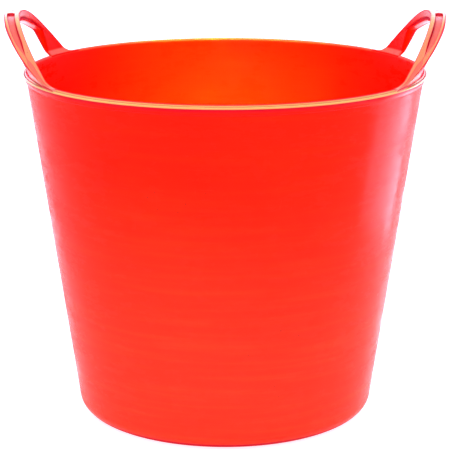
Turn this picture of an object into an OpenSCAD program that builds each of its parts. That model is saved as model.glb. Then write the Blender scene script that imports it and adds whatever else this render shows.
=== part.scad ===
// Flexible mortar mixing tub: a tapered, round, one-piece polyethylene moulding
// with a flared lip and two carrying handles that grow out of the lip.
// Millimetres, +Z up, origin on the floor under the middle of the tub.
// The handles stand at -X (left) and +X (right) and bend about lines along Y.

/* [Tub] */
// Outside diameter over the lip
lip_d = 440; // [300:1:600]
// Height of the rim above the floor
tub_h = 383; // [220:1:500]
// Outside diameter where the wall would meet the floor with a sharp corner
floor_d = 324; // [220:1:420]
// Outside radius of the bottom corner
corner_r = 18; // [8:1:30]
// Thickness of the side wall
wall_t = 2.6; // [1.8:0.1:5]
// Thickness of the floor
floor_t = 3; // [2:0.1:6]

/* [Foot] */
// Width of the flat ring that the tub stands on
foot_w = 22; // [8:1:40]
// How far the middle of the floor is raised above that ring
foot_h = 1.5; // [1:0.1:4]
// Diameter of the moulding's gate mark under the floor
gate_d = 14; // [6:1:30]
// How far the gate mark stands down from the raised middle
gate_drop = 0.7; // [0.2:0.1:1]

/* [Lip] */
// Height of the thickened lip band
lip_h = 11; // [6:0.5:20]
// Height of the bead along the top of the lip
bead_h = 5; // [2:0.5:8]
// How far the bead stands out from the skirt under it
bead_out = 1.2; // [0.4:0.1:3]
// How far the lip's lower edge stands out from the wall
lip_step = 1.1; // [0.4:0.1:3]
// Width of the fine line between the two ridges of the bead
bead_line_w = 0.8; // [0.4:0.1:2]
// Chamfer on the bead's edges
bead_chamfer = 1; // [0.3:0.1:1.5]

/* [Handles] */
// Height of a handle's crest above the rim
handle_h = 62; // [45:1:90]
// Half the length of a handle along the rim, measured straight
handle_a = 118; // [95:1:150]
// How pointed the handle's outline is: 2 is a parabola, more is squarer
handle_power = 2.5; // [2:0.1:3.5]
// How far the outside of the crest stands out beyond the lip
crest_out = 18.3; // [10:0.1:30]
// Thickness of a handle at its crest, across the grip
crest_t = 16.3; // [12:0.1:26]
// How far the inside of the handle is set back behind the inside of the rim
handle_setback = 2; // [0.5:0.1:4]
// Height of the sloping foot between the rim's inside and the handle's inside
foot_fillet_h = 5; // [2:0.5:10]
// Radius of the fillet between the rim and a handle's outer edge
flank_fillet_r = 12; // [4:1:25]

/* [Hand hole] */
// Height of the hand hole above the rim, at its middle
hole_h = 49; // [40:0.5:54]
// Half the width of the hand hole at the rim
hole_a = 84.5; // [70:0.5:86]
// Lean of the hole's sides, from upright
hole_lean = 10; // [4:1:20]
// Radius of the hole's arched top
hole_crown_r = 180; // [120:1:300]
// Radius of the hole's upper corners
hole_corner_r = 6; // [3:0.5:12]

/* [Grip channel] */
// Thickness of the two flanges beside the channel
flange_t = 5.2; // [3:0.1:7]
// Depth of the channel in the handle's outer edge, along its legs
channel_d = 6.5; // [3:0.1:9]
// Depth of the channel where it ends, beside the crest
channel_end_d = 2.5; // [1:0.1:5]
// Width of the solid crest between the front channel and the rear one
crest_w = 20; // [8:1:50]

/* [Flex line] */
// Height of the line that a handle bends about, above the rim
flex_z = 8; // [6:0.5:14]
// Distance from that line to the handle's inside, at the outer edge of a leg
flex_inset = 4; // [3:0.5:8]
// Radius of the rounded end of a leg on that line
flex_r = 2; // [1.5:0.1:3]
// Clearance between a leg and its root
flex_gap = 0.3; // [0.2:0.05:0.6]
// How far a handle bends in over the tub
flex_in = 45; // [20:1:60]
// How far a handle bends out
flex_out = 15; // [5:1:25]

/* [Hidden] */

tub_red = [0.93, 0.10, 0.05];
curve_steps = 24;      // points along each half of an outline
round_fn = 180;

lip_r = lip_d / 2;
floor_r = floor_d / 2;
skirt_r = lip_r - bead_out;                       // outside of the skirt, under the bead
wall_top_z = tub_h - lip_h;
wall_top_r = skirt_r - lip_step - (lip_h - bead_h) * 0.35;  // the skirt flares by about 1 in 3
taper = (wall_top_r - floor_r) / wall_top_z;      // run of the wall for each mm of height
wall_run = wall_t * sqrt(1 + taper * taper);      // thickness of the wall measured level

// Outside and inside radius of the tapered wall at a height
function wall_out(z) = floor_r + taper * z;
function wall_in(z) = wall_out(z) - wall_run;

rim_in_r = wall_in(tub_h);

// Points of a corner of radius r, tangent to the level line z0 and to a wall of that radius at 0
function corner_points(r, z0, wall_r0, steps = 12) =
    let (zc = z0 + r,
         rc = wall_r0 + taper * zc - r * sqrt(1 + taper * taper),
         lean = atan(taper))
    [for (i = [0:steps])
        let (a = -90 + (90 - lean) * i / steps)
        [rc + r * cos(a), zc + r * sin(a)]];

inner_corner_r = corner_r - wall_t;
inside_floor_z = foot_h + floor_t;
// The bottom corner ends here, above both of its arcs, and the wall starts
split_z = max(corner_r, inside_floor_z + inner_corner_r);
foot_out_r = corner_points(corner_r, 0, floor_r)[0][0];
foot_in_r = foot_out_r - foot_w;

// ---- the handle's shape, for the handle at +X; u is the height above the rim ----

// Outside of the handle: an arc that is upright at the crest and reaches the lip at the rim
outer_arc_r = (handle_h * handle_h + crest_out * crest_out) / (2 * crest_out);
function handle_out(u) =
    lip_r + crest_out - outer_arc_r
    + sqrt(max(0, outer_arc_r * outer_arc_r - pow(handle_h - u, 2)));
// Inside of the handle: set back from the rim, following the taper, then upright near the crest
crest_in_r = lip_r + crest_out - crest_t;
function handle_in(u) =
    u < foot_fillet_h
    ? rim_in_r + (handle_setback + taper * foot_fillet_h) * u / foot_fillet_h
    : min(crest_in_r, rim_in_r + handle_setback + taper * u);

// Outline of the handle seen from the side: z over y
function outline(y) = handle_h * (1 - pow(abs(y) / handle_a, handle_power));
// Floor of the channel: the same curve, lowered at the crest and brought in along the legs
channel_a = handle_a - channel_d * 1.2;
channel_least_w = 0.4; // the channel ends where it would be narrower than this
function channel_floor(y) =
    (handle_h - channel_end_d) * (1 - pow(min(1, abs(y) / channel_a), handle_power));

over = 60;             // how far cutting shapes run past the handle

// Flank of the outline at the rim, and the fillet that meets it
flank_slope = atan(handle_h * handle_power / handle_a);
fillet_run = flank_fillet_r * tan(flank_slope / 2);
fillet_y = handle_a + fillet_run;

// Where the hole's side meets its arched top, found by stepping up the side
function hole_side_y(z) = hole_a - z * tan(hole_lean);
function hole_top_z(y) =
    hole_h - hole_crown_r + sqrt(hole_crown_r * hole_crown_r - y * y);
function hole_corner_z(lo = 0, hi = hole_h, n = 30) =
    n == 0 ? (lo + hi) / 2
    : let (mid = (lo + hi) / 2)
      hole_top_z(hole_side_y(mid)) > mid
      ? hole_corner_z(mid, hi, n - 1) : hole_corner_z(lo, mid, n - 1);
corner_z = hole_corner_z();
corner_y = hole_side_y(corner_z);

// Points that round the corner b between a and c, keeping r along each side
function rounded(a, b, c, r, steps = 6) =
    let (p = b + (a - b) / norm(a - b) * r, q = b + (c - b) / norm(c - b) * r)
    [for (i = [0:steps])
        let (t = i / steps)
        p * (1 - t) * (1 - t) + b * 2 * t * (1 - t) + q * t * t];

function reversed(points) = [for (i = [len(points) - 1:-1:0]) points[i]];

// A closed outline from its right half, which ends on the middle line
function both_sides(half) =
    concat(half, [for (i = [len(half) - 2:-1:0]) [-half[i][0], half[i][1]]]);

// Half of the hand hole's outline, from the rim up to the crest
hole_half = concat(
    [[hole_side_y(-over / 4), -over / 4]],
    rounded([hole_a, 0], [corner_y, corner_z],
        [corner_y * 0.7, hole_top_z(corner_y * 0.7)], hole_corner_r),
    [for (i = [1:8]) let (y = corner_y * 0.7 * (1 - i / 8)) [y, hole_top_z(y)]]);

// The line that the handle bends about
flex_x = -sqrt(pow(handle_in(flex_z), 2) - pow(handle_a - flex_z / tan(flank_slope), 2))
    - flex_inset;

// Upright outline in Y and Z, pushed along -X across the whole handle
module along_x(points) {
    translate([0, 0, tub_h])
        rotate([90, 0, 90])
            translate([0, 0, -lip_r - over])
                linear_extrude(lip_r + over) polygon(points);
}

// Outside and inside of the band at a height, each brought in by a flange's thickness t
function out_point(u, t = 0) = [handle_out(min(u, handle_h)) - t, u];
function in_point(u, t = 0) = [handle_in(min(u, handle_h)) + t, u];

// The band that the handle is cut from: a ring between its inside and its outside
module handle_band() {
    levels = [for (i = [0:curve_steps + 2]) i * handle_h / curve_steps];
    inner_levels = concat([0, foot_fillet_h],
        [for (u = levels) if (u > foot_fillet_h) u]);
    translate([0, 0, tub_h])
        rotate_extrude($fn = round_fn)
            polygon(concat(
                [for (u = levels) out_point(u)],
                reversed([for (u = inner_levels) in_point(u)])));
}

// The ring between the two flanges, over the heights where they stand apart
module channel_band() {
    levels = [for (i = [1:curve_steps + 2])
        let (u = i * handle_h / curve_steps)
        if (out_point(u, flange_t)[0] - in_point(u, flange_t)[0] > channel_least_w) u];
    translate([0, 0, tub_h])
        rotate_extrude($fn = round_fn)
            polygon(concat(
                [for (u = levels) out_point(u, flange_t)],
                reversed([for (u = levels) in_point(u, flange_t)])));
}

// Space above the floor of one leg's channel: side is -1 for the front leg and 1 for the rear
function channel_outline(side) =
    let (near = crest_w / 2, run = channel_a - near)
    concat(
        [for (i = [0:curve_steps])
            let (y = near + run * i / curve_steps) [side * y, channel_floor(y)]],
        [[side * channel_a, handle_h + over], [side * near, handle_h + over]]);

// Outline of the whole bow with its two filleted feet
module bow_outline() {
    half = concat(
        [for (i = [0:4])
            let (a = i * flank_slope / 4)
            [fillet_y - flank_fillet_r * sin(a), flank_fillet_r * (1 - cos(a))]],
        [for (i = [1:curve_steps])
            let (y = (handle_a - fillet_run * cos(flank_slope)) * (1 - i / curve_steps))
            [y, outline(y)]]);
    along_x(both_sides(half));
}

// The handle and its roots in one, at -X
module whole_handle() {
    difference() {
        intersection() {
            handle_band();
            bow_outline();
        }
        along_x(both_sides(hole_half));
        for (side = [-1, 1])
            intersection() {
                channel_band();
                along_x(channel_outline(side));
            }
    }
}

// Everything above the flex line, relieved on both sides so that a leg can tip
module above_flex() {
    reach = 60;
    translate([flex_x, 0, tub_h + flex_z])
        rotate([90, 0, 0])
            linear_extrude(2 * lip_r, center = true)
                polygon([[0, 0],
                    [reach, reach * tan(flex_in + 1)],
                    [reach, 2 * reach], [-reach, 2 * reach],
                    [-reach, reach * tan(flex_out + 1)]]);
}

module flex_pin(r) {
    translate([flex_x, 0, tub_h + flex_z])
        rotate([90, 0, 0])
            cylinder(h = 2 * lip_r, r = r, center = true, $fn = 48);
}

// The bow above the flex line, with a round nose on the line at the foot of each leg
module moving_handle() {
    color(tub_red)
        intersection() {
            whole_handle();
            union() {
                above_flex();
                flex_pin(flex_r);
            }
        }
}

// The foot of one leg, below the flex line; side is -1 for the front leg and 1 for the rear
module root(side) {
    slab_h = flex_z - flex_gap;
    color(tub_red)
        difference() {
            intersection() {
                whole_handle();
                translate([-lip_r - over, side > 0 ? 0 : -lip_r, tub_h - 1])
                    cube([lip_r + over, lip_r, slab_h + 1]);
            }
            flex_pin(flex_r + flex_gap);
        }
}

// The flat bottom: a foot ring to stand on, and inside it a slightly raised plate
module floor_plate() {
    color(tub_red)
        union() {
            rotate_extrude($fn = round_fn)
                polygon([
                    [0, foot_h], [foot_in_r - 2 * foot_h, foot_h], [foot_in_r, 0], [foot_out_r, 0],
                    [foot_out_r, inside_floor_z], [0, inside_floor_z]]);
            translate([0, 0, foot_h - gate_drop])
                cylinder(h = gate_drop + floor_t / 2, d = gate_d, $fn = 48);
        }
}

// The rounded corner between the floor and the wall
module bottom_corner() {
    color(tub_red)
        rotate_extrude($fn = round_fn)
            polygon(concat(
                [[foot_out_r, inside_floor_z]],
                corner_points(corner_r, 0, floor_r),
                [[wall_out(split_z), split_z], [wall_in(split_z), split_z]],
                reversed(corner_points(inner_corner_r, inside_floor_z, floor_r - wall_run))));
}

module side_wall() {
    color(tub_red)
        rotate_extrude($fn = round_fn)
            polygon([
                [wall_in(split_z), split_z], [wall_out(split_z), split_z],
                [wall_out(wall_top_z), wall_top_z], [wall_in(wall_top_z), wall_top_z]]);
}

// The flared band along the top: a skirt, and above it a bead with a fine line along its outside
module rim() {
    mid_z = tub_h - bead_h / 2;
    line = bead_line_w / 2;
    color(tub_red)
        rotate_extrude($fn = round_fn)
            polygon([
                [wall_in(wall_top_z), wall_top_z],
                [wall_out(wall_top_z) + lip_step, wall_top_z],
                [skirt_r, tub_h - bead_h],
                [lip_r - bead_chamfer / 2, tub_h - bead_h],
                [lip_r, tub_h - bead_h + bead_chamfer / 2],
                [lip_r, mid_z - line], [lip_r - line, mid_z], [lip_r, mid_z + line],
                [lip_r, tub_h - bead_chamfer], [lip_r - bead_chamfer, tub_h],
                [rim_in_r + bead_chamfer / 2, tub_h],
                [wall_in(tub_h - bead_chamfer / 2), tub_h - bead_chamfer / 2]]);
}

module at_right() {
    mirror([1, 0, 0]) children();
}

floor_plate();  // floor
bottom_corner();
side_wall();
rim();
root(-1);  // left_front_root
root(1);  // left_rear_root
at_right() root(-1);  // right_front_root
at_right() root(1);  // right_rear_root
moving_handle();  // left_handle
at_right() moving_handle();  // right_handle
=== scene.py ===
"""Flexible mortar mixing tub: the look of a one-piece, red-orange polyethylene moulding.

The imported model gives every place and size. The tub and its two handles are surfaces worked out
from those sizes: the tub is a profile turned about the Z axis, and each handle is a section
carried along its bow. Units are metres, +Z is up, and the handles stand at -X and +X.
"""
import logging
import math
from dataclasses import dataclass
from enum import Enum

import bpy
import numpy as np
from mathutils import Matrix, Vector


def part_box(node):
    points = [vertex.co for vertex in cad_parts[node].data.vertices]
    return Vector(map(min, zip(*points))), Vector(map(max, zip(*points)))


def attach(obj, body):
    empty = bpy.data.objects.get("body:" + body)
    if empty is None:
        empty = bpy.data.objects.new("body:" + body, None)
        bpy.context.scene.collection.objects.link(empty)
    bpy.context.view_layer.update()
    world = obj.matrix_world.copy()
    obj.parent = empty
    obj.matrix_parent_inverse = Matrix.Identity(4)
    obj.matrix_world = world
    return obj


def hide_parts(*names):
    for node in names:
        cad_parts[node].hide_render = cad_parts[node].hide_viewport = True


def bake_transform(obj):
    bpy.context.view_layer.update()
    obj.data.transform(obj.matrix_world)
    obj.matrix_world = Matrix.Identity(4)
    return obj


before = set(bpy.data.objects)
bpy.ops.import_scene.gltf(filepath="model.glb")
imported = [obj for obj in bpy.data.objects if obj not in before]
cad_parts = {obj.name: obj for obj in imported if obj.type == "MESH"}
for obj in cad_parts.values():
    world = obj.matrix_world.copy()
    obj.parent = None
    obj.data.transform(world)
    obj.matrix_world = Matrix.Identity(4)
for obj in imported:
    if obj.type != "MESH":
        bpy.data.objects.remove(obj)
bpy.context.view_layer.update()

LOG = logging.getLogger("tub")
MM = 0.001
SAME_POINT = 0.0001 * MM
MASKS = ("edge_highlight", "painted_shade", "inside", "polished")

Colour = tuple[float, float, float, float]
Triple = tuple[float, float, float]


class Side(Enum):
    """The side of the tub that a handle stands on; the value is the sign of its X."""

    LEFT = -1.0
    RIGHT = 1.0

    @property
    def body(self) -> str:
        """Name of the body that this side's handle is."""
        return f"{self.name.lower()}_handle"

    @property
    def nodes(self) -> tuple[str, ...]:
        """Names of the CAD nodes that this side's handle stands for."""
        side = self.name.lower()
        return (f"{side}_handle", f"{side}_front_root", f"{side}_rear_root")


# ---------------------------------------------------------------- numbers and meshes


def smooth_step(x: np.ndarray, low: float, high: float) -> np.ndarray:
    """A soft step from 0 at low to 1 at high: 3t^2 - 2t^3, with t held between 0 and 1.

    Args:
        x: values to step over.
        low: where the step starts.
        high: where the step ends.

    Returns:
        The step's height at each value.
    """
    t = np.clip((x - low) / (high - low), 0.0, 1.0)
    return t * t * (3.0 - 2.0 * t)


def soft_bump(x: np.ndarray, centre: float, width: float) -> np.ndarray:
    """A bell curve, 1 at its centre: exp of minus the square of (x - centre) / width."""
    return np.exp(-(((x - centre) / width) ** 2))


def arc(centre: tuple[float, float], radius: float, start: float, end: float, count: int) -> np.ndarray:
    """Points of a circle's arc in the (r, z) plane: centre + radius * (cos a, sin a).

    Args:
        centre: the arc's centre.
        radius: the arc's radius.
        start: first angle, in degrees.
        end: last angle, in degrees.
        count: number of points.

    Returns:
        An array of count points.
    """
    a = np.radians(np.linspace(start, end, count))
    return np.stack([centre[0] + radius * np.cos(a), centre[1] + radius * np.sin(a)], axis=1)


def along_line(start: np.ndarray, end: np.ndarray, step: float) -> np.ndarray:
    """Points from start to end, both included, at most step apart.

    Args:
        start: first point.
        end: last point.
        step: the longest gap between two points.

    Returns:
        An array of points.
    """
    start, end = np.asarray(start, float), np.asarray(end, float)
    count = max(2, int(math.ceil(np.linalg.norm(end - start) / step)) + 1)
    t = np.linspace(0.0, 1.0, count)[:, None]
    return start * (1.0 - t) + end * t


def join_path(parts: list[np.ndarray]) -> np.ndarray:
    """One polyline from several, leaving out points that repeat the one before.

    Args:
        parts: polylines in order.

    Returns:
        The joined polyline.
    """
    path = np.concatenate(parts)
    gaps = np.linalg.norm(np.diff(path, axis=0), axis=1)
    return path[np.concatenate([[True], gaps > SAME_POINT])]


def grid_quads(rows: int, cols: int, wrap_rows: bool, wrap_cols: bool) -> np.ndarray:
    """Corner indices of the quads of a grid whose points are numbered row by row.

    Args:
        rows: number of rows of points.
        cols: number of points in a row.
        wrap_rows: whether the last row joins the first.
        wrap_cols: whether the last point of a row joins its first.

    Returns:
        An array of quads, four indices each.
    """
    i = np.arange(rows if wrap_rows else rows - 1)[:, None]
    j = np.arange(cols if wrap_cols else cols - 1)[None, :]
    i2, j2 = (i + 1) % rows, (j + 1) % cols
    corners = np.broadcast_arrays(i * cols + j, i * cols + j2, i2 * cols + j2, i2 * cols + j)
    return np.stack(corners, axis=-1).reshape(-1, 4)


def make_piece(
    name: str,
    points: np.ndarray,
    faces: list[np.ndarray],
    masks: dict[str, np.ndarray],
    material: bpy.types.Material,
) -> bpy.types.Object:
    """A smooth-shaded mesh object with its place in its points, and one float attribute for each mask.

    Args:
        name: the piece's name.
        points: N points in metres, in the row frame.
        faces: arrays of corner indices, one array for each number of corners.
        masks: attribute name to N values.
        material: the piece's finish.

    Returns:
        The object, linked to the scene.
    """
    loops = np.concatenate([f.ravel() for f in faces]).astype(np.int32)
    counts = np.concatenate([np.full(len(f), f.shape[1], np.int32) for f in faces])
    starts = np.concatenate([[0], np.cumsum(counts)[:-1]]).astype(np.int32)
    mesh = bpy.data.meshes.new(name)
    mesh.vertices.add(len(points))
    mesh.vertices.foreach_set("co", points.astype(np.float32).ravel())
    mesh.loops.add(len(loops))
    mesh.loops.foreach_set("vertex_index", loops)
    mesh.polygons.add(len(counts))
    mesh.polygons.foreach_set("loop_start", starts)
    mesh.polygons.foreach_set("use_smooth", np.ones(len(counts), bool))
    mesh.update(calc_edges=True)
    mesh.validate()
    for mask, values in masks.items():
        layer = mesh.attributes.new(mask, "FLOAT", "POINT")
        layer.data.foreach_set("value", values.astype(np.float32).ravel())
    mesh.materials.append(material)
    piece = bpy.data.objects.new(name, mesh)
    bpy.context.scene.collection.objects.link(piece)
    LOG.info("%s: %d points, %d faces", name, len(points), len(counts))
    return piece


# ---------------------------------------------------------------- the finish


def socket_group(name: str, inputs: dict[str, float], outputs: dict[str, str]) -> bpy.types.NodeTree:
    """An empty shader group with float inputs and named outputs.

    Args:
        name: the group's name.
        inputs: input name to default value.
        outputs: output name to socket type.

    Returns:
        The group, holding its input and output nodes.
    """
    group = bpy.data.node_groups.new(name, "ShaderNodeTree")
    for label, value in inputs.items():
        socket = group.interface.new_socket(label, in_out="INPUT", socket_type="NodeSocketFloat")
        socket.default_value = value
    for label, kind in outputs.items():
        group.interface.new_socket(label, in_out="OUTPUT", socket_type=kind)
    group.nodes.new("NodeGroupInput").name = "in"
    group.nodes.new("NodeGroupOutput").name = "out"
    return group


@dataclass
class Wiring:
    """Short ways to add nodes to a tree and join them."""

    tree: bpy.types.NodeTree

    def node(self, kind: str, **settings: object) -> bpy.types.Node:
        """A new node.

        Args:
            kind: the node's type, without the ShaderNode before it.
            **settings: the node's own settings by name.

        Returns:
            The node.
        """
        made = self.tree.nodes.new("ShaderNode" + kind)
        for key, value in settings.items():
            setattr(made, key, value)
        return made

    def feed(self, socket: bpy.types.NodeSocket, value: object) -> None:
        """Joins an output to a socket, or sets the socket to a plain value.

        Args:
            socket: the input to fill.
            value: an output, a number or a colour.
        """
        if isinstance(value, bpy.types.NodeSocket):
            self.tree.links.new(value, socket)
        else:
            socket.default_value = value

    def math(
        self, operation: str, a: object, b: object = 0.0, clamp: bool = False, c: float = 0.0
    ) -> bpy.types.NodeSocket:
        """The result of a Math node.

        Args:
            operation: what the node does.
            a: first value.
            b: second value.
            clamp: whether the result is held between 0 and 1.
            c: third value, where the operation takes one.

        Returns:
            The node's output.
        """
        made = self.node("Math", operation=operation, use_clamp=clamp)
        self.feed(made.inputs[0], a)
        self.feed(made.inputs[1], b)
        made.inputs[2].default_value = c
        return made.outputs[0]

    def ramp(
        self, value: object, low: object, high: object, to: tuple[float, float] = (0.0, 1.0)
    ) -> bpy.types.NodeSocket:
        """A value carried smoothly from one range to another.

        Args:
            value: the value.
            low: where it gives the first number of to.
            high: where it gives the last number of to.
            to: the range of the result.

        Returns:
            The carried value.
        """
        made = self.node("MapRange", interpolation_type="SMOOTHSTEP")
        for socket, given in zip(made.inputs, (value, low, high, *to)):
            self.feed(socket, given)
        return made.outputs[0]

    def mix(self, factor: object, a: object, b: object, blend: str = "MIX") -> bpy.types.NodeSocket:
        """Two colours mixed.

        Args:
            factor: how much of the second colour is in the mix.
            a: first colour.
            b: second colour.
            blend: how the colours are mixed.

        Returns:
            The mixed colour.
        """
        made = self.node("Mix", data_type="RGBA", blend_type=blend)
        # the node has a set of sockets for each kind of data: these are the ones for colours
        for index, given in ((0, factor), (6, a), (7, b)):
            self.feed(made.inputs[index], given)
        return made.outputs[2]

    def noise(
        self, place: object, scale: float, detail: float = 3.0, rough: float = 0.5
    ) -> bpy.types.NodeSocket:
        """A noise from 0 to 1.

        Args:
            place: where it is read.
            scale: how many waves it has in a metre.
            detail: how many finer noises are added.
            rough: how strong those are.

        Returns:
            The noise's value.
        """
        made = self.node("TexNoise")
        self.feed(made.inputs["Vector"], place)
        self.feed(made.inputs["Scale"], scale)
        made.inputs["Detail"].default_value = detail
        made.inputs["Roughness"].default_value = rough
        return made.outputs["Fac"]

    def stretched(self, place: object, scale: Triple) -> bpy.types.NodeSocket:
        """A place scaled by a different amount along each axis.

        Args:
            place: the place.
            scale: the three amounts.

        Returns:
            The scaled place.
        """
        made = self.node("Mapping", vector_type="POINT")
        self.feed(made.inputs["Vector"], place)
        made.inputs["Scale"].default_value = scale
        return made.outputs[0]

    def placed(self, group: bpy.types.NodeTree, **values: float) -> bpy.types.Node:
        """A group placed in this tree.

        Args:
            group: the group.
            **values: the group's inputs by name.

        Returns:
            The group's node.
        """
        made = self.node("Group", node_tree=group)
        for label, value in values.items():
            self.feed(made.inputs[label], value)
        return made


def ripple_group() -> bpy.types.NodeTree:
    """Height of the shallow ripples that a large thin moulding keeps from its mould and from cooling.

    Rings round the wall, flutes down it and a broad unevenness: three noises, each multiplied by
    its own height in metres, and added.

    Returns:
        The group.
    """
    ring_h, flute_h, broad_h = 0.45 * MM, 0.22 * MM, 1.2 * MM
    group = socket_group("moulding_ripple", {"Depth": 1.0}, {"Height": "NodeSocketFloat"})
    w = Wiring(group)
    place = w.node("TexCoord").outputs["Object"]
    rings = w.noise(w.stretched(place, (2.0, 2.0, 90.0)), 1.0, detail=2.0)
    flutes = w.noise(w.stretched(place, (34.0, 34.0, 3.0)), 1.0, detail=2.0)
    broad = w.noise(place, 9.0, detail=1.0)
    total = w.math("ADD", w.math("MULTIPLY", rings, ring_h), w.math("MULTIPLY", flutes, flute_h))
    total = w.math("ADD", total, w.math("MULTIPLY", broad, broad_h))
    source, out = group.nodes["in"], group.nodes["out"]
    group.links.new(w.math("MULTIPLY", total, source.outputs["Depth"]), out.inputs["Height"])
    return group


def grain_group() -> bpy.types.NodeTree:
    """Height of the mould's fine spark-eroded grain, its dull patches, and where it is worn smooth.

    Returns:
        The group.
    """
    grain_h = 0.03 * MM
    outputs = {"Height": "NodeSocketFloat", "Dull": "NodeSocketFloat", "Worn": "NodeSocketFloat"}
    group = socket_group("mould_grain", {"Depth": 1.0}, outputs)
    w = Wiring(group)
    place = w.node("TexCoord").outputs["Object"]
    fine = w.noise(place, 900.0, detail=2.0, rough=0.6)
    patch = w.noise(place, 26.0, detail=4.0, rough=0.6)
    worn = w.noise(w.stretched(place, (36.0, 36.0, 130.0)), 1.0, detail=5.0, rough=0.7)
    source, out = group.nodes["in"], group.nodes["out"]
    height = w.math("MULTIPLY", w.math("MULTIPLY", fine, grain_h), source.outputs["Depth"])
    group.links.new(height, out.inputs["Height"])
    group.links.new(w.ramp(patch, 0.35, 0.7), out.inputs["Dull"])
    group.links.new(w.ramp(worn, 0.36, 0.62), out.inputs["Worn"])
    return group


def scuff_group() -> bpy.types.NodeTree:
    """Masks of handling marks: fine scratches in long streaks, and specks of dust and dried mortar.

    Scratches are the peaks of two noises drawn out along the wall and down it. Specks are the
    middles of small cells. Both lie only where a broad third noise is high.

    Returns:
        The group.
    """
    outputs = {"Scratches": "NodeSocketFloat", "Specks": "NodeSocketFloat"}
    group = socket_group("handling_marks", {"Amount": 0.5}, outputs)
    w = Wiring(group)
    place = w.node("TexCoord").outputs["Object"]
    source, out = group.nodes["in"], group.nodes["out"]
    streak = w.noise(w.stretched(place, (16.0, 16.0, 420.0)), 1.0, detail=3.0, rough=0.65)
    slant = w.noise(w.stretched(place, (260.0, 260.0, 14.0)), 1.0, detail=3.0, rough=0.65)
    where = w.noise(place, 7.0, detail=2.0)
    lines = w.math("MAXIMUM", w.ramp(streak, 0.63, 0.72), w.ramp(slant, 0.65, 0.74))
    lines = w.math("MULTIPLY", lines, w.ramp(where, 0.45, 0.65))
    speck = w.node("TexVoronoi", feature="F1")
    w.feed(speck.inputs["Vector"], place)
    speck.inputs["Scale"].default_value = 120.0
    dots = w.ramp(speck.outputs["Distance"], 0.13, 0.05)
    dots = w.math("MULTIPLY", dots, w.ramp(where, 0.60, 0.68))
    group.links.new(w.math("MULTIPLY", lines, source.outputs["Amount"]), out.inputs["Scratches"])
    group.links.new(w.math("MULTIPLY", dots, source.outputs["Amount"]), out.inputs["Specks"])
    return group


def low_paling_group() -> bpy.types.NodeTree:
    """Mask of a faint paler tone low on the wall.

    It is full below one height and gone above another, and a broad noise makes both wander.

    Returns:
        The group.
    """
    wander_h = 50.0 * MM
    group = socket_group("low_wall_paling", {"Low": 0.1, "High": 0.3}, {"Paling": "NodeSocketFloat"})
    w = Wiring(group)
    source, out = group.nodes["in"], group.nodes["out"]
    place = w.node("TexCoord").outputs["Object"]
    split = w.node("SeparateXYZ")
    w.feed(split.inputs[0], place)
    wander = w.math("MULTIPLY", w.noise(place, 6.0, detail=2.0), wander_h)
    height = w.math("ADD", split.outputs["Z"], wander)
    paling = w.ramp(height, source.outputs["High"], source.outputs["Low"])
    group.links.new(paling, out.inputs["Paling"])
    return group


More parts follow.
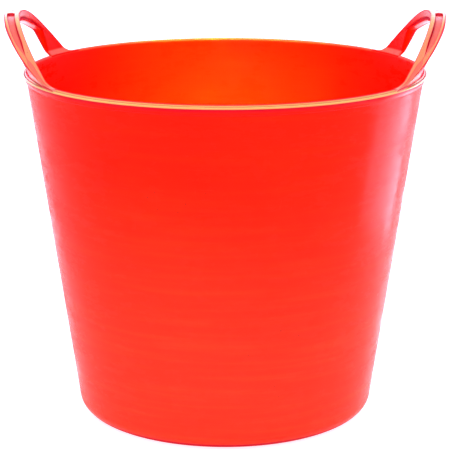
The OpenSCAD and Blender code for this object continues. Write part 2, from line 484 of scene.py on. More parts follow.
@dataclass(frozen=True)
class TubPlastic:
    """Satin low-density polyethylene, tinted red-orange and slightly translucent.

    The body colour clouds a little, is paler low on the wall, and is deeper inside, which is painted shade.
    Painted highlights pale the lit edges in two steps, to salmon and then cream, and painted shade makes
    hollows, creases and shaded faces crimson.
    """

    name: str
    body: Colour = (0.96, 0.0125, 0.0012, 1.0)
    cloudy: Colour = (0.94, 0.0085, 0.0010, 1.0)
    # painted shade: the inside is given a deeper colour than the outside
    inner: Colour = (0.93, 0.0050, 0.0004, 1.0)
    paler_low: Colour = (0.98, 0.034, 0.014, 1.0)
    streaky: Colour = (1.0, 1.7, 1.2, 1.0)
    # painted highlights on the lit edges and flange tops: salmon, then cream
    highlight_salmon: Colour = (0.82, 0.14, 0.085, 1.0)
    highlight_cream: Colour = (0.76, 0.40, 0.11, 1.0)
    # painted shade: crimson in hollows, creases and shaded faces
    shade_crimson: Colour = (0.60, 0.0, 0.020, 1.0)
    scuffed: Colour = (1.0, 0.05, 0.03, 1.0)
    specks: Colour = (0.30, 0.004, 0.004, 1.0)
    paling_low: float = 0.08
    paling_high: float = 0.36
    gloss_rough: float = 0.24
    dull_rough: float = 0.40
    scratch_rough: float = 0.25
    inside_rough: float = 0.10
    worn_rough: float = -0.14
    hollow_rough: float = 0.6
    ripple_depth: float = 1.0
    grain_depth: float = 1.0
    scratch_depth: float = 0.04 * MM
    marks: float = 0.35
    ior: float = 1.51
    specular: float = 0.036
    polish: float = 0.9
    polish_ior: float = 1.6
    glow: float = 0.25
    glow_reach: Triple = (1.0, 0.16, 0.06)
    glow_scale: float = 6.0 * MM

    def build(self, groups: dict[str, bpy.types.NodeTree]) -> bpy.types.Material:
        """The material, with the shared groups placed in it with this finish's own values.

        Args:
            groups: the shared shader groups by name.

        Returns:
            The material.
        """
        made = bpy.data.materials.new(self.name)
        made.use_nodes = True
        w = Wiring(made.node_tree)
        shader = made.node_tree.nodes["Principled BSDF"]
        effects = {
            "ripple": w.placed(groups["ripple"], Depth=self.ripple_depth).outputs,
            "grain": w.placed(groups["grain"], Depth=self.grain_depth).outputs,
            "marks": w.placed(groups["marks"], Amount=self.marks).outputs,
            "paling": w.placed(groups["paling"], Low=self.paling_low, High=self.paling_high).outputs,
        }
        masks = {mask: w.node("Attribute", attribute_name=mask).outputs["Fac"] for mask in MASKS}
        w.feed(shader.inputs["Base Color"], self.colour(w, effects, masks))
        w.feed(shader.inputs["Roughness"], self.rough(w, effects, masks))
        w.feed(shader.inputs["Normal"], self.relief(w, effects))
        w.feed(shader.inputs["Coat Weight"], self.coat(w, masks))
        shader.inputs["Coat Roughness"].default_value = self.gloss_rough
        shader.inputs["Coat IOR"].default_value = self.polish_ior
        shader.inputs["IOR"].default_value = self.ior
        shader.inputs["Specular IOR Level"].default_value = self.specular
        shader.subsurface_method = "RANDOM_WALK"
        shader.inputs["Subsurface Weight"].default_value = self.glow
        shader.inputs["Subsurface Radius"].default_value = self.glow_reach
        shader.inputs["Subsurface Scale"].default_value = self.glow_scale
        return made

    def colour(self, w: Wiring, effects: dict[str, object], masks: dict[str, object]) -> bpy.types.NodeSocket:
        """The plastic's colour, from the broad changes to the small marks.

        Args:
            w: the material's wiring.
            effects: outputs of the shared groups.
            masks: the piece's masks.

        Returns:
            The colour.
        """
        place = w.node("TexCoord").outputs["Object"]
        cloud = w.noise(place, 5.5, detail=3.0)
        streak = w.noise(w.stretched(place, (7.0, 7.0, 150.0)), 1.0, detail=4.0, rough=0.6)
        edge, marks = masks["edge_highlight"], effects["marks"]
        made = w.mix(w.ramp(cloud, 0.3, 0.75), self.body, self.cloudy)
        # paler towards the bottom of the outside wall
        made = w.mix(effects["paling"]["Paling"], made, self.paler_low)
        # painted shade: the inside faces go deeper
        made = w.mix(w.math("MULTIPLY", masks["inside"], 0.9), made, self.inner)
        warmer = w.mix(1.0, made, self.streaky, "MULTIPLY")
        made = w.mix(w.ramp(streak, 0.42, 0.75, (0.0, 0.6)), made, warmer)
        # painted highlight: the first half of the edge mask goes to the salmon colour, and the second half on
        # to the cream one
        made = w.mix(w.math("MULTIPLY", edge, 2.0, clamp=True), made, self.highlight_salmon)
        made = w.mix(w.math("MULTIPLY_ADD", edge, 2.0, clamp=True, c=-1.0), made, self.highlight_cream)
        # painted shade: crimson wherever the shade mask lies
        made = w.mix(masks["painted_shade"], made, self.shade_crimson)
        made = w.mix(w.math("MULTIPLY", marks["Scratches"], 0.35), made, self.scuffed)
        return w.mix(w.math("MULTIPLY", marks["Specks"], 2.0, clamp=True), made, self.specks)

    def rough(self, w: Wiring, effects: dict[str, object], masks: dict[str, object]) -> bpy.types.NodeSocket:
        """Roughness: between glossy and dull by patches, plus what each mark and mask adds.

        Args:
            w: the material's wiring.
            effects: outputs of the shared groups.
            masks: the piece's masks.

        Returns:
            The roughness.
        """
        dull, span = effects["grain"]["Dull"], self.dull_rough - self.gloss_rough
        made = w.math("MULTIPLY_ADD", dull, span, c=self.gloss_rough)
        added = (
            (effects["marks"]["Scratches"], self.scratch_rough),
            (masks["inside"], self.inside_rough),
            (effects["grain"]["Worn"], self.worn_rough),
            (masks["painted_shade"], self.hollow_rough),
        )
        for mask, amount in added:
            made = w.math("ADD", made, w.math("MULTIPLY", mask, amount), clamp=True)
        return made

    def relief(self, w: Wiring, effects: dict[str, object]) -> bpy.types.NodeSocket:
        """The normal, bumped by ripple and grain less the scratches' depth, in metres.

        Args:
            w: the material's wiring.
            effects: outputs of the shared groups.

        Returns:
            The normal.
        """
        height = w.math("ADD", effects["ripple"]["Height"], effects["grain"]["Height"])
        scratches = w.math("MULTIPLY", effects["marks"]["Scratches"], self.scratch_depth)
        bump = w.node("Bump")
        bump.inputs["Strength"].default_value = 1.0
        bump.inputs["Distance"].default_value = 1.0
        w.feed(bump.inputs["Height"], w.math("SUBTRACT", height, scratches))
        return bump.outputs["Normal"]

    def coat(self, w: Wiring, masks: dict[str, object]) -> bpy.types.NodeSocket:
        """Extra gloss at grazing angles where the mould is polished, and none under the painted shade.

        Args:
            w: the material's wiring.
            masks: the piece's masks.

        Returns:
            The coat's weight.
        """
        facing = w.node("LayerWeight").outputs["Facing"]
        gloss = w.math("MULTIPLY", w.ramp(facing, 0.5, 0.85, (0.0, self.polish)), masks["polished"])
        return w.math("MULTIPLY", gloss, w.math("SUBTRACT", 1.0, masks["painted_shade"], clamp=True))


# ---------------------------------------------------------------- the tub


@dataclass
class TubMoulding:
    """The floor, bottom corner, wall and lip, as one turned profile.

    The lip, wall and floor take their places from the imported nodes. The rest are small sizes of
    the moulding that only the looks need.
    """

    lip_r: float
    rim_z: float
    skirt_z: float
    wall_top_r: float
    corner_top_r: float
    corner_top_z: float
    foot_out_r: float
    wall: float = 2.6 * MM
    floor: float = 3.0 * MM
    foot_rise: float = 1.5 * MM
    foot_w: float = 22.0 * MM
    gate_r: float = 7.0 * MM
    gate_drop: float = 0.7 * MM
    corner_r: float = 18.0 * MM
    gate_round: float = 0.4 * MM
    foot_round: float = 1.2 * MM
    segments: int = 256
    ripple: float = 0.10 * MM

    @classmethod
    def from_frame(cls) -> "TubMoulding":
        """The tub's sizes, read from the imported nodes' boxes.

        Returns:
            The tub.
        """
        rim_low, rim_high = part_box("rim")
        _, wall_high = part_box("side_wall")
        _, corner_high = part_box("bottom_corner")
        _, floor_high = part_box("floor")
        return cls(
            lip_r=rim_high.x,
            rim_z=rim_high.z,
            skirt_z=rim_low.z,
            wall_top_r=wall_high.x,
            corner_top_r=corner_high.x,
            corner_top_z=corner_high.z,
            foot_out_r=floor_high.x,
        )

    @property
    def taper(self) -> float:
        """Run of the wall for each metre of height."""
        return (self.wall_top_r - self.corner_top_r) / (self.skirt_z - self.corner_top_z)

    def wall_out(self, z: float) -> float:
        """Outside radius of the wall at a height."""
        return self.corner_top_r + self.taper * (z - self.corner_top_z)

    def wall_in(self, z: float) -> float:
        """Inside radius of the wall at a height."""
        return self.wall_out(z) - self.wall * math.sqrt(1.0 + self.taper**2)

    def outside(self) -> np.ndarray:
        """Profile of the outside below the lip: gate mark, raised middle, foot ring, corner and wall.

        Returns:
            Points (r, z) from the middle of the underside up to the lip's skirt.
        """
        lean = math.degrees(math.atan(self.taper))
        foot_in = self.foot_out_r - self.foot_w
        gate_z = self.foot_rise - self.gate_drop
        soft, turn = self.gate_round, self.foot_round
        corner = arc((self.foot_out_r, self.corner_r), self.corner_r, -90.0, -lean, 20)
        middle_edge = (foot_in - 4.0 * MM, self.foot_rise)
        top_z = self.skirt_z - 2.0 * MM
        return join_path(
            [
                np.array([[0.0, gate_z], [self.gate_r * 0.6, gate_z]]),
                arc((self.gate_r - soft, gate_z + soft), soft, -90.0, 0.0, 5),
                np.array([[self.gate_r + 0.1 * MM, self.foot_rise - 0.1 * MM]]),
                along_line((self.gate_r + soft, self.foot_rise), middle_edge, 12.0 * MM),
                arc((foot_in - 3.0 * MM, self.foot_rise - turn), turn, 90.0, 45.0, 4),
                arc((foot_in, turn), turn, -135.0, -90.0, 4),
                along_line((foot_in + 0.4 * MM, 0.0), (self.foot_out_r, 0.0), 8.0 * MM),
                corner,
                along_line(corner[-1], (self.wall_out(top_z), top_z), 2.0 * MM),
            ]
        )

    def lip(self) -> np.ndarray:
        """Profile of the lip: a small step out to the skirt, the skirt, and a bead of two ridges.

        Returns:
            Points (r, z) from the skirt's lower edge up and over to the inside wall.
        """
        z, r = self.rim_z, self.lip_r
        step_r = self.wall_out(self.skirt_z)
        skirt_low = np.array([step_r + 1.2 * MM, self.skirt_z + 0.9 * MM])
        skirt_top = np.array([r - 1.2 * MM, z - 4.9 * MM])
        # arcs in millimetres and degrees: the centre's distance in from the lip's outside and down
        # from the rim, the radius, the first and last angle, and the number of points
        bead = (
            (0.8, 4.8, 0.4, 190.0, 100.0, 4),  # the hollow under the bead
            (0.6, 3.8, 0.6, -80.0, 0.0, 5),  # the bead's lower edge
            (1.1, 3.0, 1.1, 0.0, 85.0, 8),  # the outer ridge
            (2.1, 2.35, 0.45, -20.0, -140.0, 6),  # the fine line
            (3.25, 1.6, 0.8, 10.0, 60.0, 5),  # the inner ridge's outer flank
            (4.3, 1.0, 1.0, 60.0, 175.0, 10),  # the inner ridge's top
        )
        ridges = [
            arc((r - back * MM, z - down * MM), radius * MM, first, last, count)
            for back, down, radius, first, last, count in bead
        ]
        return join_path(
            [
                arc((step_r + 0.5 * MM, self.skirt_z - 0.4 * MM), 0.4 * MM, 170.0, 90.0, 4),
                arc((skirt_low[0] - 0.7 * MM, skirt_low[1]), 0.7 * MM, -80.0, -10.0, 5),
                along_line(skirt_low, skirt_top, 1.0 * MM),
                *ridges,
            ]
        )

    def inside(self) -> np.ndarray:
        """Profile of the inside: the wall, the corner and the floor.

        Returns:
            Points (r, z) from under the lip down and in to the floor's middle.
        """
        lean = math.degrees(math.atan(self.taper))
        floor_z = self.foot_rise + self.floor
        radius = self.corner_r - self.wall
        zc = floor_z + radius
        rc = self.wall_in(zc) - radius / math.cos(math.radians(lean))
        corner = arc((rc, zc), radius, -lean, -90.0, 18)
        top_z = self.rim_z - 3.0 * MM
        return join_path(
            [
                along_line((self.wall_in(top_z), top_z), corner[0], 4.0 * MM),
                corner,
                along_line(corner[-1], (0.0, floor_z), 7.0 * MM),
            ]
        )

    def build(self, material: bpy.types.Material) -> bpy.types.Object:
        """The moulding: point (r, z) of the profile turned to r cos a, r sin a, z, with both poles closed.

        A shallow ripple moves the wall in and out: sine waves around the tub and along its height,
        fading out towards the corner and the lip.

        Args:
            material: the tub's finish.

        Returns:
            The piece.
        """
        outside, lip, inside = self.outside(), self.lip(), self.inside()
        profile = join_path([outside, lip, inside])
        poles, ring = profile[[0, -1]], profile[1:-1]
        a = (np.arange(self.segments)[None, :] + 0.5) * 2.0 * math.pi / self.segments
        r, z = ring[:, :1], ring[:, 1:]
        fade = 1.0 - smooth_step(z, self.skirt_z - 40.0 * MM, self.skirt_z - 4.0 * MM)
        fade = fade * smooth_step(z, 30.0 * MM, 80.0 * MM)
        waves = np.sin(3 * a + 19.0 * z) * 0.5 + np.sin(7 * a - 31.0 * z + 1.0) * 0.3
        waves = waves + np.sin(170.0 * z + 2 * a) * 0.2
        r = r + self.ripple * fade * waves
        points = np.stack([r * np.cos(a), r * np.sin(a), z + 0.0 * a], axis=-1).reshape(-1, 3)
        points = np.concatenate([points, [[0.0, 0.0, poles[0, 1]], [0.0, 0.0, poles[1, 1]]]])
        rows, n = len(ring), self.segments
        quads = grid_quads(rows, n, False, True)
        j = np.arange(n)
        first = np.stack([np.full(n, rows * n), (j + 1) % n, j], axis=1)
        last_row = (rows - 1) * n
        last = np.stack([np.full(n, rows * n + 1), last_row + j, last_row + (j + 1) % n], axis=1)
        # the inside starts at the lip's last points, which face the tub's axis
        outward = (np.arange(rows) < len(outside) + len(lip) - 3).astype(float)
        masks = {
            "edge_highlight": self.edge_highlight_mask(ring),
            "painted_shade": self.painted_shade_mask(ring, outward),
            "polished": self.polish_mask(ring),
            "inside": 1.0 - outward,
        }
        spread = {mask: np.concatenate([np.repeat(v, n), [v[0], v[-1]]]) for mask, v in masks.items()}
        faces = [corners[:, ::-1] for corners in (quads, first, last)]
        piece = make_piece("tub_moulding", points, faces, spread, material)
        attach(piece, "tub")
        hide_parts("floor", "bottom_corner", "side_wall", "rim")
        return piece

    def lip_outside(self, ring: np.ndarray) -> np.ndarray:
        """1 on the points of the lip that lie outside its inner ridge, and 0 further in."""
        return smooth_step(ring[:, 0], self.lip_r - 3.5 * MM, self.lip_r - 2.8 * MM)

    def line_mask(self, ring: np.ndarray) -> np.ndarray:
        """How near each ring of points is to the fine line between the lip's two ridges."""
        away = np.hypot(ring[:, 0] - (self.lip_r - 2.3 * MM), ring[:, 1] - (self.rim_z - 2.7 * MM))
        return soft_bump(away, 0.0, 0.65 * MM)

    def edge_highlight_mask(self, ring: np.ndarray) -> np.ndarray:
        """How much painted highlight each ring of points takes.

        It is 1 on the outside of both ridges, less on the inner ridge's inner flank, and 0 in the
        fine line and below the bead.

        Args:
            ring: the profile's points between the poles.

        Returns:
            One value for each point of the profile.
        """
        r, below = ring[:, 0], self.rim_z - ring[:, 1]
        bead = 1.0 - smooth_step(below, 3.6 * MM, 4.3 * MM)
        bead = bead * self.lip_outside(ring) * (1.0 - 0.8 * self.line_mask(ring))
        flank = 1.0 - smooth_step(r, self.lip_r - 5.0 * MM, self.lip_r - 4.6 * MM)
        return np.maximum(bead, 0.4 * flank * (below < 1.7 * MM))

    def painted_shade_mask(self, ring: np.ndarray, outward: np.ndarray) -> np.ndarray:
        """How much painted shade each ring takes: fine line, inner ridge top, under the bead, skirt, step and
        foot edge.

        Args:
            ring: the profile's points between the poles.
            outward: 1 for those on the outside, and 0 for those on the inside.

        Returns:
            One value for each point of the profile.
        """
        r, z = ring[:, 0], ring[:, 1]
        below = self.rim_z - z
        ridge_top = soft_bump(r, self.lip_r - 4.2 * MM, 0.9 * MM) * (below < 3.0 * MM)
        ridge_top = ridge_top * smooth_step(r, self.lip_r - 4.9 * MM, self.lip_r - 4.5 * MM)
        under_bead = soft_bump(below, 4.8 * MM, 0.7 * MM)
        skirt = smooth_step(below, 3.9 * MM, 4.6 * MM) * (1.0 - smooth_step(below, 5.5 * MM, 10.0 * MM))
        skirt_edge = soft_bump(z, self.skirt_z + 0.3 * MM, 0.7 * MM)
        foot_edge = smooth_step(r, self.foot_out_r - 1.0 * MM, self.foot_out_r + 1.0 * MM)
        foot_edge = foot_edge * (1.0 - smooth_step(z, 5.0 * MM, 8.0 * MM))
        outer = np.maximum.reduce([0.9 * under_bead, 0.6 * skirt, 0.25 * skirt_edge, 0.9 * foot_edge])
        return np.maximum.reduce([0.9 * self.line_mask(ring), 0.9 * ridge_top, outer * outward])

    def polish_mask(self, ring: np.ndarray) -> np.ndarray:
        """Where the mould is polished: the lip's outside, from the skirt up."""
        up = smooth_step(ring[:, 1], self.skirt_z + 1.2 * MM, self.skirt_z + 2.2 * MM)
        return self.lip_outside(ring) * up


# ---------------------------------------------------------------- the handles


@dataclass
class Section:
    """Points of a closed section at every station.

    across is the place from the middle of the thickness, back the distance from the outer outline,
    and edge and deep the masks of painted highlight and of painted shade. Each is a list of arrays
    while it is being filled, and one array of stations by points when stacked.
    """

    across: list[np.ndarray] | np.ndarray
    back: list[np.ndarray] | np.ndarray
    edge: list[np.ndarray] | np.ndarray
    painted_shade: list[np.ndarray] | np.ndarray

    def add(self, across: np.ndarray, back: object, edge: object, painted_shade: object) -> None:
        """Adds one point of the section at every station.

        Args:
            across: its place at each station.
            back: its distance at each station, or one distance for all.
            edge: its painted highlight mask, likewise.
            painted_shade: its painted shade mask, likewise.
        """
        zero = np.zeros_like(across)
        self.across.append(across)
        self.back.append(back + zero)
        self.edge.append(edge + zero)
        self.painted_shade.append(painted_shade + zero)

    def inside(self, half: np.ndarray) -> np.ndarray:
        """How much each point lies on the face towards the tub's axis; half is half the thickness."""
        return 1.0 - smooth_step(self.across / half[:, None], -0.95, -0.3)

    def stacked(self) -> "Section":
        """The same section with one array of stations by points for each of its four parts."""
        return Section(*(np.stack(part, axis=1) for part in (self.across, self.back, self.edge, self.painted_shade)))


@dataclass
class Handle:
    """One carrying handle with its feet: a channelled section carried along an arched bow.

    Heights here are above the rim, and y runs along the rim. The section lies between the outer
    outline and the hand hole's outline; across it the handle fills the band between two turned
    surfaces that share the tub's axis.
    """

    side: Side
    lip_r: float
    rim_z: float
    rim_in_r: float
    taper: float
    height: float
    reach: float
    half: float = 118.0 * MM
    power: float = 2.5
    crest_t: float = 16.3 * MM
    setback: float = 2.0 * MM
    foot_rise: float = 5.0 * MM
    flank_r: float = 12.0 * MM
    hole_half: float = 84.5 * MM
    hole_h: float = 49.0 * MM
    hole_lean: float = 10.0
    hole_crown_r: float = 180.0 * MM
    hole_corner: float = 7.0 * MM
    inner_flange: float = 5.0 * MM
    outer_flange: float = 3.3 * MM
    channel_d: float = 6.5 * MM
    channel_end_d: float = 2.5 * MM
    channel_low: float = 27.0 * MM
    crest_w: float = 20.0 * MM
    web: float = 2.8 * MM
    web_growth: float = 0.27
    sink: float = 3.4 * MM
    weld: float = 0.12 * MM
    bead_fall: float = 1.8 * MM
    stations: int = 361
    bend_h: float = 24.0 * MM

    @classmethod
    def from_frame(cls, side: Side, tub: TubMoulding) -> "Handle":
        """A handle's sizes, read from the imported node's box and the tub.

        Args:
            side: which handle.
            tub: the tub that it grows out of.

        Returns:
            The handle.
        """
        low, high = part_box(side.body)
        return cls(
            side=side,
            lip_r=tub.lip_r,
            rim_z=tub.rim_z,
            rim_in_r=tub.wall_in(tub.rim_z),
            taper=tub.taper,
            height=high.z - tub.rim_z,
            reach=max(abs(low.x), abs(high.x)) - tub.lip_r,
        )

    def outer_r(self, u: np.ndarray) -> np.ndarray:
        """Outside radius: an arc, upright at the crest, that meets the lip at the rim.

        Args:
            u: heights above the rim.

        Returns:
            The radii.
        """
        arc_r = (self.height**2 + self.reach**2) / (2.0 * self.reach)
        up = np.clip(u, 0.0, self.height)
        heights = (-self.sink, -0.75 * self.sink, 0.0, 1.5 * MM)
        joint = np.interp(u, heights, (-0.6 * MM, self.weld, self.weld, 0.0))
        return self.lip_r + self.reach - arc_r + np.sqrt(arc_r**2 - (self.height - up) ** 2) + joint

    def inner_r(self, u: np.ndarray) -> np.ndarray:
        """Inside radius: a sloping foot, then set back along the wall's taper, upright at the crest.

        Args:
            u: heights above the rim.

        Returns:
            The radii.
        """
        foot = np.interp(u, (0.0, self.foot_rise), (0.0, self.setback))
        heights = (-self.sink, -0.4 * self.sink, 0.0, 1.0 * MM)
        joint = np.interp(u, heights, (0.5 * MM, -self.weld, -self.weld, 0.0))
        line = self.rim_in_r + foot + joint + self.taper * u
        top = self.lip_r + self.reach - self.crest_t
        soft = 1.2 * MM
        return top - soft * np.log1p(np.exp((top - line) / soft))

    def outline(self, count: int) -> np.ndarray:
        """Right half of the outer outline: height * (1 - (y / half)^power), then a concave fillet.

        Args:
            count: number of points on the bow.

        Returns:
            Points (y, u), crest first, ending a little below the rim.
        """
        slope = math.atan(self.height * self.power / self.half)
        run = self.flank_r * math.tan(slope / 2.0)
        y = np.linspace(0.0, self.half - run * math.cos(slope), count)
        bow = np.stack([y, self.height * (1.0 - (y / self.half) ** self.power)], axis=1)
        a = np.linspace(slope, 0.0, count // 4)
        foot_y = self.half + run
        fillet = np.stack([foot_y - self.flank_r * np.sin(a), self.flank_r * (1.0 - np.cos(a))], axis=1)
        tail = np.array([[4.0 * MM, -0.3 * MM], [8.0 * MM, -1.2 * MM], [9.0 * MM, -self.sink]])
        return join_path([bow, fillet, tail + np.array([foot_y, 0.0])])

    def hole(self, count: int) -> np.ndarray:
        """Right half of the hand hole's outline: a flat arch, a rounded corner and a leaning side.

        Args:
            count: number of points on the arch.

        Returns:
            Points (y, u), crest first, ending a little below the rim.
        """
        lean = math.radians(self.hole_lean)
        side = np.array([math.cos(lean), math.sin(lean)])
        along = np.array([-side[1], side[0]])
        top = np.array([0.0, self.hole_h - self.hole_crown_r])
        # the rounded corner's centre lies one corner radius inside both the side and the arch
        base = np.array([self.hole_half, 0.0]) - side * self.hole_corner
        b = np.dot(base - top, along)
        c = np.dot(base - top, base - top) - (self.hole_crown_r - self.hole_corner) ** 2
        corner = base + along * (math.sqrt(b * b - c) - b)
        meet = math.atan2(corner[1] - top[1], corner[0])
        sweep = np.linspace(math.pi / 2.0, meet, count)
        arch = top + self.hole_crown_r * np.stack([np.cos(sweep), np.sin(sweep)], axis=1)
        turn = np.linspace(meet, lean, count // 3)
        bend = corner + self.hole_corner * np.stack([np.cos(turn), np.sin(turn)], axis=1)
        low = np.array([self.hole_half + self.sink * math.tan(lean), -self.sink])
        return join_path([arch, bend, along_line(bend[-1], low, 2.0 * MM)])

    def evenly(self, path: np.ndarray, t: np.ndarray) -> np.ndarray:
        """Points of a path at fractions t of its length.

        Args:
            path: a polyline.
            t: fractions from 0 to 1.

        Returns:
            One point for each fraction.
        """
        length = np.concatenate([[0.0], np.cumsum(np.linalg.norm(np.diff(path, axis=0), axis=1))])
        return np.stack([np.interp(t * length[-1], length, path[:, k]) for k in (0, 1)], axis=1)

    def build(self, material: bpy.types.Material) -> bpy.types.Object:
        """The handle: for station t along the bow and point v round the section.

        A point is the hole's outline plus a share of the way to the outer outline in the (y, u)
        plane, and a share of the way from the inside radius to the outside radius across it. The
        outer face falls back towards the hand hole, more so near the feet.

        Args:
            material: the handle's finish.

        Returns:
            The piece.
        """
        t = np.linspace(-1.0, 1.0, self.stations)
        s = np.abs(t)
        out, hole = self.evenly(self.outline(160), s), self.evenly(self.hole(90), s)
        width = np.linalg.norm(out - hole, axis=1)
        way = (out - hole) / width[:, None]
        thick = self.outer_r(out[:, 1]) - self.inner_r(out[:, 1])
        section = self.section(s, out, width, thick)

        place = hole[:, None, :] + way[:, None, :] * (width[:, None] - section.back)[:, :, None]
        u = place[:, :, 1]
        inner, outer = self.inner_r(u), self.outer_r(u)
        share = 0.5 + section.across / thick[:, None]
        hole_t = self.outer_r(hole[:, 1]) - self.inner_r(hole[:, 1])
        kept = np.minimum(1.0, (self.web + self.web_growth * np.maximum(hole[:, 1], 0.0)) / hole_t)
        fall = smooth_step(section.back / width[:, None], 0.15, 0.9)
        share = share * (1.0 - (1.0 - kept)[:, None] * fall)
        r = inner + (outer - inner) * share
        y = place[:, :, 0] * np.where(t < 0.0, -1.0, 1.0)[:, None]
        x = self.side.value * np.sqrt(r * r - y * y)
        points = np.stack([x, y, u + self.rim_z], axis=-1)
        rows, cols = points.shape[:2]
        quads = grid_quads(rows, cols, False, True)
        caps = np.stack([np.arange(cols)[::-1], (rows - 1) * cols + np.arange(cols)])
        if self.side is Side.RIGHT:
            quads, caps = quads[:, ::-1], caps[:, ::-1]
        # near a foot the outer face takes a painted highlight and less painted shade, a painted shade line
        # shows where it meets the lip, and the inner face takes a painted highlight where it lands on the rim
        outward = smooth_step(section.across / (thick[:, None] / 2.0), 0.7, 0.95)
        low = outward * (1.0 - smooth_step(u, 5.0 * MM, 22.0 * MM))
        inward = section.inside(half=thick / 2.0)
        landing_highlight = inward * smooth_step(u, -1.0 * MM, 0.5 * MM) * (1.0 - smooth_step(u, 4.0 * MM, 6.0 * MM))
        meets = outward * soft_bump(u, 0.0, 1.8 * MM)
        masks = {
            "edge_highlight": np.maximum.reduce([section.edge, 0.5 * low, 0.4 * landing_highlight]).ravel(),
            "painted_shade": np.maximum(section.painted_shade * (1.0 - 0.85 * low), 0.9 * meets).ravel(),
            "inside": inward.ravel(),
            "polished": (smooth_step(u, 0.0, 8.0 * MM) * (1.0 - 0.5 * inward)).ravel(),
        }
        points = points.reshape(-1, 3)
        piece = make_piece(f"{self.side.body}_skin", points, [quads, caps], masks, material)
        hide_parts(*self.side.nodes)
        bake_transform(piece)
        return piece

    def section(self, s: np.ndarray, out: np.ndarray, width: np.ndarray, thick: np.ndarray) -> Section:
        """The closed section at every station, from the crease beside the finger bar round to it again.

        Args:
            s: each station's share of the way from the crest to a foot.
            out: each station's point (y, u) on the outer outline.
            width: from the hole's outline to the outer outline.
            thick: across the handle, at the outer outline.

        Returns:
            The section's points at every station.
        """
        half = thick / 2.0
        tip = np.minimum(1.3 * MM, half * 0.4)
        lip = np.full_like(half, 0.6 * MM)
        up = out[:, 1]
        bar = np.interp(s, (0.0, 0.5, 0.72, 1.0), (4.7 * MM, 4.7 * MM, 3.2 * MM, 1.2 * MM))
        crease = 1.0 * MM * (1.0 - smooth_step(s, 0.55, 0.8))

        # the channel: a pocket along each leg, rounded beside the crest and pointed towards the foot
        at_crest = np.clip((out[:, 0] - self.crest_w / 2.0) / (4.0 * MM), 0.0, 1.0)
        pointed = smooth_step(up, self.channel_low, self.channel_low + 15.0 * MM) ** 0.6
        full = np.maximum(thick - self.inner_flange - self.outer_flange, 0.5 * MM)
        dish = 0.4 * thick * (1.0 - smooth_step(up, self.channel_low - 8.0 * MM, self.channel_low))
        rounded_end = np.sqrt(0.06 + 0.94 * (1.0 - (1.0 - at_crest) ** 2))
        gap = np.maximum(full * np.minimum(pointed, rounded_end), dish)
        gap = np.maximum(gap, 0.4 * MM)
        leg = smooth_step(out[:, 0], self.crest_w / 2.0, 70.0 * MM)
        depth = (self.channel_end_d + (self.channel_d - self.channel_end_d) * leg)
        depth = depth * smooth_step(up, self.channel_low - 1.0 * MM, self.channel_low + 12.0 * MM)
        depth = (depth + 0.22 * MM) * smooth_step(at_crest, 0.0, 0.4)
        middle = (self.inner_flange - self.outer_flange) / 2.0
        wall_in, wall_out = middle - gap / 2.0, middle + gap / 2.0
        # painted shade in the channel, stronger where it is deeper, and at its rounded end
        dark = np.clip(depth / (3.0 * MM), 0.0, 1.0)
        end = smooth_step(at_crest, 0.0, 0.15) * (1.0 - smooth_step(at_crest, 0.7, 1.0))
        # painted highlight on the flange tops, stronger near the crest
        peach = 0.68 + 0.24 * smooth_step(self.height - up, 14.0 * MM, 2.0 * MM)

        section = Section([], [], [], [])
        face = width - bar
        # the inner face, out of the crease and up to the edge, with painted shade in the crease
        for k in (0.0, 0.1, 0.2, 0.3, 0.4, 0.5, 0.6, 0.7, 0.8, 0.88, 0.95):
            groove = math.exp(-((k / 0.17) ** 2))
            section.add(-half + crease * groove, face + (tip - face) * k, 0.0, groove * crease / (1.0 * MM))
        # the inner flange: its rounded edge, its flat top and its lip
        for a in np.radians(np.linspace(0.0, 90.0, 6)):
            over = math.sin(a) ** 2
            across = -half + tip * (1.0 - math.cos(a))
            section.add(across, tip * (1.0 - math.sin(a)), peach * over, 0.7 * (1.0 - over))
        for k in (0.35, 0.7):
            section.add(-half + tip + (wall_in - lip + half - tip) * k, 0.0, peach, 0.0)
        for a in np.radians(np.linspace(0.0, 80.0, 5)):
            rounded = np.minimum(lip * (1.0 - math.cos(a)), depth * 0.5)
            section.add(wall_in - lip + lip * math.sin(a), rounded, peach * (1.0 - 0.4 * a), dark * 0.4 * a)
        # the channel: down its inner side, across its floor and up its outer side
        for k in (0.35, 0.7, 0.95):
            section.add(wall_in, depth * k, 0.0, dark)
        for k in (0.06, 0.3, 0.5, 0.7, 0.94):
            by_side = dark * (2.0 * k - 1.0) ** 8
            section.add(wall_in + gap * k, depth, 0.5, np.maximum(end, by_side))
        for k in (0.95, 0.7, 0.35):
            section.add(wall_out, depth * k, 0.3, np.maximum(end, dark * 0.45))
        # the outer flange: its lip, its flat top and its rounded edge
        for a in np.radians(np.linspace(80.0, 0.0, 5)):
            rounded = np.minimum(lip * (1.0 - math.cos(a)), depth * 0.5)
            section.add(wall_out + lip - lip * math.sin(a), rounded, peach * (1.0 - 0.3 * a), 0.0)
        for k in (0.3, 0.65):
            section.add(wall_out + lip + (half - tip - wall_out - lip) * k, 0.0, peach, 0.0)
        for a in np.radians(np.linspace(90.0, 0.0, 6))[:-1]:
            turned = math.cos(a)
            drop = tip * (1.0 - math.sin(a))
            section.add(half - tip * (1.0 - turned), drop, peach * (1.0 - turned), turned)
        # the outer face, in painted shade, and then the finger bar round to the crease, in painted shade on
        # its outer half and beside the crease
        for k in np.linspace(0.0, 1.0, 9):
            section.add(half, tip + (face - tip) * k, 0.0, 0.9)
        swell = 2.0 / 2.4
        for a in np.radians(np.linspace(0.0, 180.0, 19))[1:-1]:
            c, d = math.cos(a), math.sin(a)
            by_crease = math.exp(-(((math.pi - a) / 0.4) ** 2)) * crease / (1.0 * MM)
            shade = 0.9 * max(c, 0.0) + by_crease
            section.add(half * math.copysign(abs(c) ** swell, c), face + bar * d**swell, 0.0, shade)
        made = section.stacked()
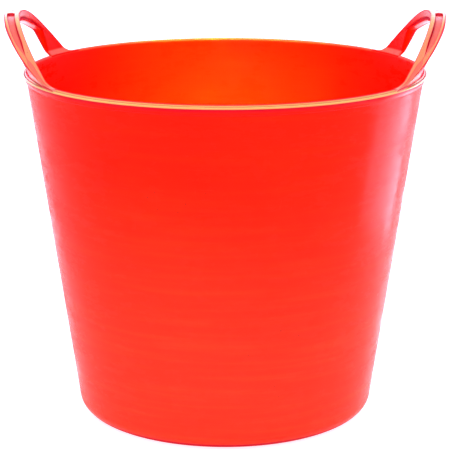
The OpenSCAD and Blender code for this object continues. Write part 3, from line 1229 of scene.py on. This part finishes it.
        # at a foot the outer edge falls to the slope of the lip's two ridges
        fall = self.bead_fall * (1.0 - smooth_step(up, 0.0, 9.0 * MM))
        share = np.clip(0.5 + made.across / thick[:, None], 0.0, 1.0)
        made.back += fall[:, None] * share * np.exp(-made.back / (4.0 * MM))
        return made


# ---------------------------------------------------------------- the studio


@dataclass
class Studio:
    """Pale floor, soft lights and the camera.

    The room is bright overhead and behind the tub, and dark in front of it.
    """

    camera_at: Triple = (0.0, -2.0527, 0.7331)
    camera_down: float = 14.40
    camera_lens: float = 152.0
    floor_tone: Colour = (0.41, 0.45, 0.41, 1.0)
    table_light: Colour = (0.80, 0.80, 0.88, 1.0)
    bright_tone: Colour = (0.82, 1.0, 1.50, 1.0)
    dark_tone: Colour = (0.04, 0.03, 0.05, 1.0)
    bright: float = 1.9

    def build(self) -> None:
        """Makes the floor, the surrounding light, the lamps and the camera."""
        self.build_floor()
        self.build_air()
        self.lamp("key_front", (-0.5, -2.6, 1.9), (0.0, 0.0, 0.2), (1.4, 1.0), 46.0, (1.0, 0.96, 0.88))
        self.lamp("warm_mouth", (0.0, -0.9, 1.5), (0.0, 0.2, 0.22), (0.10, 0.10), 2.2, (0.6, 0.9, 0.03), 12.0)
        self.lamp("side_right", (0.62, 0.16, 0.19), (0.15, 0.0, 0.22), (0.42, 0.36), 2.9, (0.95, 0.85, 1.15))
        self.build_camera()

    def build_floor(self) -> None:
        """A light table: a wide plain plane under the tub that glows a little of itself."""
        size = 12.0
        corners = [(-size, -size, 0.0), (size, -size, 0.0), (size, size, 0.0), (-size, size, 0.0)]
        mesh = bpy.data.meshes.new("studio_floor")
        mesh.from_pydata(corners, [], [(0, 1, 2, 3)])
        made = bpy.data.materials.new("studio_floor")
        made.use_nodes = True
        shader = made.node_tree.nodes["Principled BSDF"]
        shader.inputs["Base Color"].default_value = self.floor_tone
        shader.inputs["Roughness"].default_value = 0.8
        shader.inputs["Specular IOR Level"].default_value = 0.1
        shader.inputs["Emission Color"].default_value = self.table_light
        shader.inputs["Emission Strength"].default_value = 1.0
        mesh.materials.append(made)
        plane = bpy.data.objects.new("studio_floor", mesh)
        bpy.context.scene.collection.objects.link(plane)

    def build_air(self) -> None:
        """Light from all round, brighter the higher and the further back its direction points."""
        world = bpy.data.worlds.new("studio_air")
        world.use_nodes = True
        w = Wiring(world.node_tree)
        back = world.node_tree.nodes["Background"]
        way = w.node("SeparateXYZ")
        w.feed(way.inputs[0], w.node("TexCoord").outputs["Generated"])
        lift = w.math("ADD", w.math("MULTIPLY", way.outputs["Z"], 1.3), way.outputs["Y"])
        w.feed(back.inputs["Color"], w.mix(w.ramp(lift, 0.0, 0.9), self.dark_tone, self.bright_tone))
        back.inputs["Strength"].default_value = self.bright
        bpy.context.scene.world = world

    def lamp(
        self,
        name: str,
        at: Triple,
        target: Triple,
        size: tuple[float, float],
        power: float,
        tint: Triple,
        spread: float = 180.0,
    ) -> None:
        """A soft rectangular lamp aimed at a point.

        Args:
            name: the lamp's name.
            at: where it stands.
            target: what it faces.
            size: its width and height.
            power: its power in watts.
            tint: its colour.
            spread: the whole angle of its beam, in degrees.
        """
        data = bpy.data.lights.new(name, "AREA")
        data.shape = "RECTANGLE"
        data.size, data.size_y = size
        data.energy, data.color = power, tint
        data.spread = math.radians(spread)
        made = bpy.data.objects.new(name, data)
        made.location = at
        made.visible_camera = False
        made.rotation_mode = "QUATERNION"
        made.rotation_quaternion = (Vector(target) - Vector(at)).to_track_quat("-Z", "Y")
        bpy.context.scene.collection.objects.link(made)

    def build_camera(self) -> None:
        """A long lens in front of the tub and a little above it."""
        data = bpy.data.cameras.new("camera")
        data.lens, data.sensor_width = self.camera_lens, 36.0
        data.clip_start, data.clip_end = 0.05, 50.0
        made = bpy.data.objects.new("camera", data)
        made.location = self.camera_at
        made.rotation_euler = (math.radians(90.0 - self.camera_down), 0.0, 0.0)
        bpy.context.scene.collection.objects.link(made)
        bpy.context.scene.camera = made


def main() -> None:
    """Builds the studio, the tub and its handles."""
    logging.basicConfig(level=logging.INFO, format="%(name)s: %(message)s")
    Studio().build()
    bpy.context.scene.view_settings.view_transform = "Standard"
    groups = {
        "ripple": ripple_group(),
        "grain": grain_group(),
        "marks": scuff_group(),
        "paling": low_paling_group(),
    }
    plastic = TubPlastic("tub_plastic").build(groups)
    tub = TubMoulding.from_frame()
    tub.build(plastic)
    for side in Side:
        Handle.from_frame(side, tub).build(plastic)


if __name__ == "__main__":
    main()
